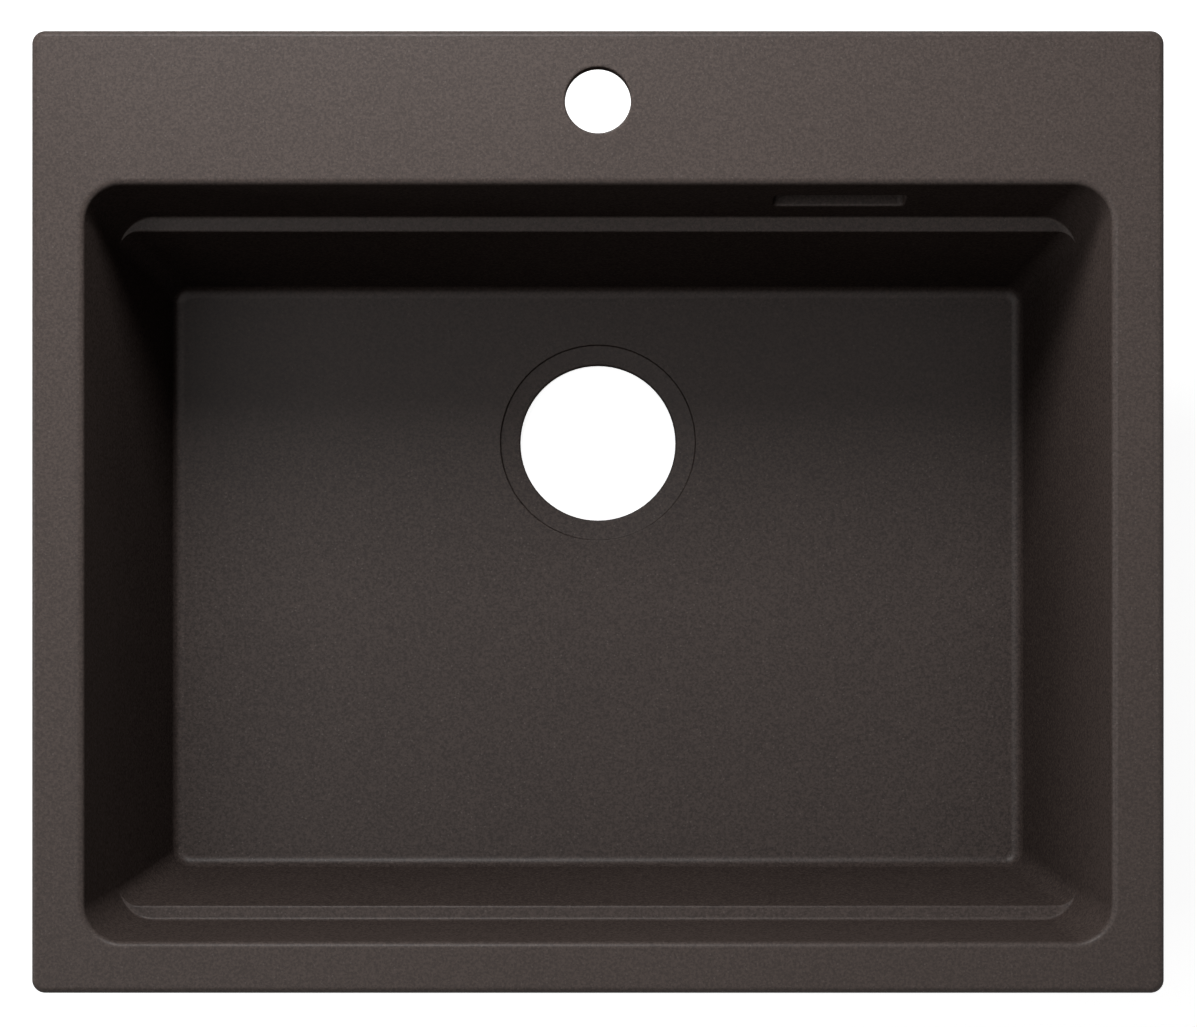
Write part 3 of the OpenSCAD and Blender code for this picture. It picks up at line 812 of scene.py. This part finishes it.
# Overflow collector. An injection-moulded box that catches what runs through the slot and
# leads it down a spigot to the waste's hose. Its flange is screwed over the gasket.
housing_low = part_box("overflow_housing")[0]
seat_y = housing_low.y
collector_depth = 0.022
collector_wall = 0.002
flange_thickness = 0.003
flange_round = 0.0006
collector_round = 0.0025
collector_root = 0.001
spigot_y = seat_y + (collector_depth - collector_wall + flange_thickness) / 2
spigot_radius = 0.010
spigot_bore = spigot_radius - collector_wall
spigot_chamfer = 0.001
spigot_shoulder = 0.011
shoulder_foot = slot_z - flange_half_z - 0.0015
spigot_root = 0.0095
grip_pitch = 0.0042
grip_flat = 0.4 * grip_pitch
grip_root = 0.45 * grip_pitch


def wall_ring(out, z):
    """Ring that stands out from the collector's hollow, at a height above its seat."""
    return (hollow_half_x + out, hollow_half_z + out, hollow_corner + out, 0, z)


def flange_ring(inward, z):
    """Ring that lies in from the flange's edge, at a height above its seat."""
    return (flange_half_x - inward, flange_half_z - inward, flange_corner - inward, 0, z)


housing_rings = [wall_ring(0, collector_depth - collector_wall), wall_ring(0, 0)]
for up, inward in rounding(flange_round, edge_steps):
    housing_rings.append(flange_ring(inward, up))
for inward, down in rounding(flange_round, edge_steps):
    housing_rings.append(flange_ring(inward, flange_thickness - down))
for up, out in rounding(collector_root, recess_steps):
    housing_rings.append(wall_ring(collector_wall + out, flange_thickness + up))
for inward, down in rounding(collector_round, hole_steps):
    housing_rings.append(wall_ring(collector_wall - inward, collector_depth - down))
housing = shell("overflow_collector", housing_rings, closed=False, hair=hair)
stand_at_slot(housing, slot_x, seat_y)
spigot_foot = housing_low.z
spigot_top = slot_z - hollow_half_z
spigot_line = [(spigot_radius - spigot_chamfer, spigot_foot),
               (spigot_radius, spigot_foot + spigot_chamfer)]
grip_foot = spigot_foot + spigot_chamfer
while grip_foot + grip_pitch < shoulder_foot:
    spigot_line += [(spigot_radius, grip_foot + grip_flat), (spigot_root, grip_foot + grip_root),
                    (spigot_radius, grip_foot + grip_pitch)]
    grip_foot += grip_pitch
spigot_line += [(spigot_radius, shoulder_foot - flange_round),
                (spigot_shoulder - flange_round, shoulder_foot),
                (spigot_shoulder, shoulder_foot + flange_round),
                (spigot_shoulder, spigot_top - collector_wall / 2)]
spigot = turned("spigot", spigot_line, capped=True)
put(spigot, (slot_x, spigot_y, 0))
add_on(housing, spigot)
cut_away(housing, rod("bore", spigot_bore, spigot_foot - collector_wall,
                      spigot_top + collector_wall, slot_x, spigot_y))
for side in (-1, 1):
    hole = rod("hole", screw_hole, -flange_thickness, 2 * flange_thickness)
    stand_at_slot(hole, slot_x + side * insert_x, seat_y)
    cut_away(housing, hole)
smooth(housing)


def satin_plastic(wires, place, shader):
    """Black polypropylene from a spark-eroded mould: a fine satin grain, with flow marks."""
    flow = wires.noise(place, 45.0, 3.0, Distortion=1.2)
    colour = flow.spread(0.3, 0.7).mix((0.019, 0.019, 0.020, 1.0), (0.030, 0.030, 0.031, 1.0))
    wires.feed(shader, {"Base Color": colour, "Roughness": flow.spread(0.3, 0.7, 0.52, 0.42),
                        "Normal": wires.bump(wires.cells(place, 2200.0), 0.25, 0.00008)})


finish(housing, satin_plastic, "black_plastic", "sink", "overflow_housing")

# Collector screws. Two zinc plated machine screws with pan heads and cross recesses, which
# pass the flange and the gasket and turn into the brass inserts.
set_head_radius = 0.004
set_head_height = 0.0026
set_radius = 0.002
set_root = 0.0017
set_length = 0.012
set_pitch = 0.0007
set_point = 0.0006
set_plain = 0.0005
set_tip = 0.8 * set_root
recess_slot = 0.0011
recess_reach = 0.0023
recess_height = 0.0014
recess_taper = 0.55
pan_crown = 0.38
pan_rise = 0.55
pan_brim = 0.92
pan_brim_round = 0.97
thread_sides = 24
thread_steps = 8
point_steps = 4
flank = 0.7


def screw(name, head_radius, head_height, radius, root, length, pitch, point, tip, plain):
    """A screw on Z, with the face of its pan head at zero and its thread above the head."""
    profile = [(head_radius * (1 - pan_crown + pan_crown * math.cos(turn)),
                head_height * pan_rise * (1 + math.sin(turn)))
               for turn in quarter(-90, 0, point_steps)]
    profile += [(head_radius, head_height * pan_brim), (head_radius * pan_brim_round, head_height)]
    foot = head_height
    end = head_height + length - point
    steps = math.ceil((end - foot) / pitch * thread_steps)
    profile += [(radius, foot + (end - foot) * step / steps) for step in range(steps + 1)]
    profile += [(radius + (tip - radius) * step / point_steps, end + point * step / point_steps)
                for step in range(1, point_steps + 1)]
    piece = turned(name, profile, thread_sides, capped=True)
    recess_half = recess_slot / 2
    for half_x, half_y in ((recess_reach, recess_half), (recess_half, recess_reach)):
        cross = block("cross", (-half_x, -half_y, -recess_height), (half_x, half_y, recess_height))
        bpy.ops.object.mode_set(mode="EDIT")
        bpy.ops.mesh.select_mode(type="FACE")
        pick("faces", lambda face: middle(face).z > recess_height / 2
             and abs(face.normal.z) > 0.9)
        bpy.ops.transform.resize(value=(recess_taper, recess_taper, 1),
                                 center_override=(0, 0, 0))
        bpy.ops.object.mode_set(mode="OBJECT")
        cut_away(piece, cross)
    for vertex in piece.data.vertices:
        spread = math.hypot(vertex.co.x, vertex.co.y)
        if vertex.co.z < foot + plain or spread > radius * 1.01:
            continue
        turn = vertex.co.z / pitch - math.atan2(vertex.co.y, vertex.co.x) / math.tau
        groove = (0.5 + 0.5 * math.cos(math.tau * turn)) ** flank
        share = 1 - (1 - root / radius) * groove
        vertex.co.x *= share
        vertex.co.y *= share
    smooth(piece, degrees=50)
    return piece


set_screws = []
for side in (-1, 1):
    set_screw = screw("set_screw", set_head_radius, set_head_height, set_radius, set_root,
                      set_length, set_pitch, set_point, set_tip, set_plain)
    stand_at_slot(set_screw, slot_x + side * insert_x,
                  seat_y + flange_thickness + set_head_height, 90)
    set_screws.append(set_screw)
collector_screws = join(set_screws, "collector_screws")


def zinc_plate(wires, place, shader):
    """Bright zinc plate over steel: cold grey, with a faint bluish bloom and fine scratches."""
    bloom = wires.noise(place, 180.0, 3.0)
    rub = wires.noise(place, 2600.0, 2.0)
    colour = bloom.spread(0.3, 0.7).mix((0.52, 0.54, 0.58, 1.0), (0.66, 0.66, 0.65, 1.0))
    wires.feed(shader, {"Base Color": colour, "Metallic": 1.0,
                        "Roughness": (bloom * 0.6 + rub * 0.4).spread(0.3, 0.7, 0.24, 0.38),
                        "Normal": wires.bump(rub, 0.15, 0.00004)})


finish(collector_screws, zinc_plate, "zinc_steel", "sink", "overflow_screws")

# Dowels. Nylon plugs pressed into the bosses' blind holes. Each has a flange that bears on
# its boss, barbs that grip the hole, and a bore that the clip's screw cuts its thread in.
dowel_radius = 0.00345
dowel_root = 0.0031
dowel_flange = 0.00525
dowel_flange_height = 0.0012
dowel_bore = 0.00215
dowel_length = 0.0236
dowel_round = 0.0003
barb_start = 0.0014
barb_step = 0.0019
barb_rise = 0.15 * barb_step
barb_flat = 0.3 * barb_step
barb_fall = 0.8 * barb_step
barb_count = 11
dowel_slit = 0.0007
slit_start = 0.006

dowel_top = boss_foot + dowel_length
flange_foot = boss_foot - dowel_flange_height
dowel_line = [(dowel_bore + dowel_round, flange_foot), (dowel_flange - dowel_round, flange_foot),
              (dowel_flange, flange_foot + dowel_round), (dowel_flange, boss_foot - dowel_round),
              (dowel_flange - dowel_round, boss_foot), (dowel_root, boss_foot)]
for barb in range(barb_count):
    barb_low = boss_foot + barb_start + barb * barb_step
    dowel_line += [(dowel_root, barb_low), (dowel_radius, barb_low + barb_rise),
                   (dowel_radius, barb_low + barb_flat), (dowel_root, barb_low + barb_fall)]
dowel_line += [(dowel_root, dowel_top - dowel_round), (dowel_root - dowel_round, dowel_top),
               (dowel_bore, dowel_top), (dowel_bore, flange_foot + dowel_round)]
dowel = turned("dowel", dowel_line, around=40)
cut_away(dowel, block("slit", (-2 * dowel_radius, -dowel_slit / 2, boss_foot + slit_start),
                      (2 * dowel_radius, dowel_slit / 2, dowel_top + dowel_slit)))
smooth(dowel)


def natural_nylon(wires, place, shader):
    """Undyed nylon: milky, with faint flow marks and a satin skin."""
    flow = wires.noise(place, 240.0, 3.0, Distortion=0.6)
    colour = flow.spread(0.3, 0.7).mix((0.60, 0.56, 0.47, 1.0), (0.72, 0.69, 0.61, 1.0))
    wires.feed(shader, {"Base Color": colour, "Roughness": flow.spread(0.3, 0.7, 0.36, 0.5),
                        "Normal": wires.bump(flow, 0.15, 0.0001)})


def fit_clips(master, name, build, slot, body, node):
    """Puts a copy at each clip, with the clip's number in its names, and removes the master."""
    for number, x, y, turn, _ in clips:
        finish(place_copy(master, f"{name}_{number}", x, y, turn), build, slot,
               body.format(number), f"{node}_{number}")
    bpy.data.objects.remove(master)


fit_clips(dowel, "dowel", natural_nylon, "nylon", "sink", "clip_anchor")

# Clip claws. Pressed from 2 mm galvanised strip: an eye for the screw, two sides folded up to
# stiffen it, and an end folded up into three teeth that bite the worktop's underside.
claw_half = 0.005
claw_steel = 0.002
claw_reach = 0.030
claw_height = 0.011
claw_side_height = 0.0055
claw_side_start = 0.008
claw_eye = 0.00218
claw_bend = 0.0022
claw_inner_bend = 0.0007
claw_edge = 0.0002
tooth_depth = 0.0016
tooth_pitch = 2 * claw_half / 3
claw_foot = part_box("clip_claw_1")[0].z


def low_fold(edge, foot):
    """True for an edge that runs out along the claw and lies at a height."""
    run = edge.verts[0].co - edge.verts[1].co
    return abs(run.x) > abs(run.y) + abs(run.z) and abs(middle(edge).z - foot) < claw_edge


claw = block("claw", (claw_side_start, -claw_half, 0), (claw_reach, claw_half, claw_side_height))
round_edges(claw, lambda edge: low_fold(edge, 0), claw_bend, steps=5)
trough = block("trough", (claw_side_start - claw_steel, claw_steel - claw_half, claw_steel),
               (claw_reach - claw_steel, claw_half - claw_steel, claw_height))
round_edges(trough, lambda edge: low_fold(edge, claw_steel), claw_inner_bend, steps=4)
cut_away(claw, trough)
add_on(claw, block("tip", (claw_reach - claw_steel, -claw_half, claw_steel / 2),
                   (claw_reach, claw_half, claw_height)))
add_on(claw, block("strip", (0, -claw_half, 0), (claw_side_start + claw_steel, claw_half,
                                                 claw_steel)))
add_on(claw, rod("eye", claw_half, 0, claw_steel))
cut_away(claw, rod("hole", claw_eye, -claw_steel, 2 * claw_steel))
notch_half = tooth_depth * math.sqrt(0.5)
for side in (-1, 1):
    notch = block("notch", (claw_reach - 2 * claw_steel, -notch_half, -notch_half),
                  (claw_reach + claw_steel, notch_half, notch_half))
    put(notch, (0, side * tooth_pitch / 2, claw_height), (math.pi / 4, 0, 0))
    cut_away(claw, notch)
modify(claw, "BEVEL", width=claw_edge, segments=2, limit_method="ANGLE",
       angle_limit=math.radians(50))
put(claw, (0, 0, claw_foot), (0, 0, -math.pi / 2))
smooth(claw)


def galvanised_strip(wires, place, shader):
    """Galvanised steel strip: small zinc crystals, dulled, with rub marks from the press."""
    crystal = wires.node("SeparateColor", {0: wires.cells(place, 420.0, "Color")})
    dulling = wires.noise(place, 150.0, 4.0)
    shade = crystal * 0.5 + dulling * 0.5
    colour = shade.spread(0.2, 0.8).mix((0.42, 0.43, 0.45, 1.0), (0.62, 0.63, 0.64, 1.0))
    wires.feed(shader, {"Base Color": colour, "Metallic": 1.0,
                        "Roughness": shade.spread(0.2, 0.8, 0.5, 0.34),
                        "Normal": wires.bump(shade, 0.1, 0.0001)})


fit_clips(claw, "claw", galvanised_strip, "claw_steel", "clip_grip_{}", "clip_claw")

# Clip washers. Plain zinc plated washers, stamped with a rolled edge, that let the screw's
# head turn without dragging the claw round.
washer_low, washer_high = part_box("clip_washer_1")
washer_radius = (washer_high.x - washer_low.x) / 2
washer_round = 0.00018
washer = turned("washer", rounded_section(claw_eye, washer_radius, washer_low.z, washer_high.z,
                                          washer_round))
smooth(washer)
fit_clips(washer, "washer", zinc_plate, "zinc_steel", "clip_carriage_{}", "clip_washer")

# Clip screws. Long zinc plated screws with a coarse rolled thread, driven from below with a
# cross-head driver. Each turns in its dowel and draws its claw up under the worktop.
screw_low, screw_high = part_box("clip_screw_1")
head_radius = 0.004
head_height = 0.0031
screw_radius = 0.0021
screw_root = 0.0016
screw_pitch = 0.0014
screw_point = 0.002
screw_tip = 0.0007
screw_plain = 0.0045
clip_screw = screw("clip_screw", head_radius, head_height, screw_radius, screw_root,
                   screw_high.z - screw_low.z - head_height, screw_pitch, screw_point,
                   screw_tip, screw_plain)
put(clip_screw, (0, 0, screw_low.z))
fit_clips(clip_screw, "screw", zinc_plate, "zinc_steel", "clip_drive_{}", "clip_screw")

# Studio. A pale paper floor and backdrop, and three plain soft lights. The camera looks
# straight down, 0.11 m in front of the sink's middle, with its lens shifted back to it.
floor_size = 12
floor_drop = 0.0003
paper_white = 0.8
paper_glow = 0.93
under_sink = 0.24
fill = 0.017
bpy.ops.object.select_all(action="DESELECT")
bpy.ops.mesh.primitive_plane_add(size=floor_size, location=(0, 0, -floor_drop))
studio_floor = bpy.context.object
studio_floor.name = "studio_floor"
paper = bpy.data.materials.new("paper_floor")
paper.use_nodes = True
wires = Wire(paper.node_tree)
paper_shader = paper.node_tree.nodes["Principled BSDF"]
wires.feed(paper_shader, {"Base Color": (paper_white, paper_white, paper_white, 1),
                          "Roughness": 0.9})
glow = wires.node("Emission", {"Color": (1, 1, 1, 1), "Strength": paper_glow})
both = wires.node("AddShader", {0: Wire(wires.tree, paper_shader.outputs[0]), 1: glow})
off_middle = wires.node("VectorMath", {0: wires.node("TexCoord", output="Object")},
                        output="Value", operation="LENGTH")
mirrored = (wires.node("LightPath", output="Is Glossy Ray")
            + wires.node("LightPath", output="Is Transmission Ray"))
seen = (wires.node("LightPath", output="Is Camera Ray") + mirrored * (off_middle > under_sink))
seen = wires.maths("MINIMUM", seen, 1.0)
floor_mix = wires.node("MixShader", {0: seen, 1: Wire(wires.tree, paper_shader.outputs[0]),
                                     2: both})
wires.tree.links.new(floor_mix.socket, wires.tree.nodes["Material Output"].inputs["Surface"])
studio_floor.data.materials.append(paper)

world = bpy.data.worlds.new("studio_world")
bpy.context.scene.world = world
world.use_nodes = True
air = Wire(world.node_tree)
seen = (air.node("LightPath", output="Is Camera Ray")
        + air.node("LightPath", output="Is Glossy Ray")
        + air.node("LightPath", output="Is Transmission Ray"))
seen = air.maths("MINIMUM", seen, 1.0)
backdrop = world.node_tree.nodes["Background"]
strength = seen * (1.0 - fill) + fill
world.node_tree.links.new(strength.socket, backdrop.inputs["Strength"])
backdrop.inputs["Color"].default_value = (1, 1, 1, 1)


def soft_light(name, x, y, z, size, power):
    """A square soft light that faces the bowl's middle."""
    lamp = bpy.data.lights.new(name, "AREA")
    lamp.size = size
    lamp.energy = power
    light = bpy.data.objects.new(name, lamp)
    bpy.context.collection.objects.link(light)
    light.location = (x, y, z)
    aim = Vector((0, 0, rim_top / 2)) - light.location
    light.rotation_euler = aim.to_track_quat("-Z", "Y").to_euler()


soft_light("key", -0.19, 0.835, 1.04, 0.4, 9.2)
soft_light("overhead", -1.5, -0.15, 4.0, 2.0, 18.0)
soft_light("side", -2.0, 0, 0.45, 0.4, 5.5)

camera_height = 2.011
camera_y = -0.1131
photo_width = 1197
photo_mm_per_pixel = 0.5294
middle_x = 0.0003
middle_y = -0.0010
lens = bpy.data.cameras.new("camera")
camera = bpy.data.objects.new("camera", lens)
bpy.context.collection.objects.link(camera)
bpy.context.scene.camera = camera
camera.location = (0, camera_y, rim_top + camera_height)
lens.sensor_width = 36
lens.lens = lens.sensor_width * camera_height / (photo_width * photo_mm_per_pixel / 1000)
lens.shift_y = (middle_y - camera_y) / camera_height * lens.lens / lens.sensor_width
lens.shift_x = middle_x / camera_height * lens.lens / lens.sensor_width
bpy.context.scene.view_settings.view_transform = "Standard"
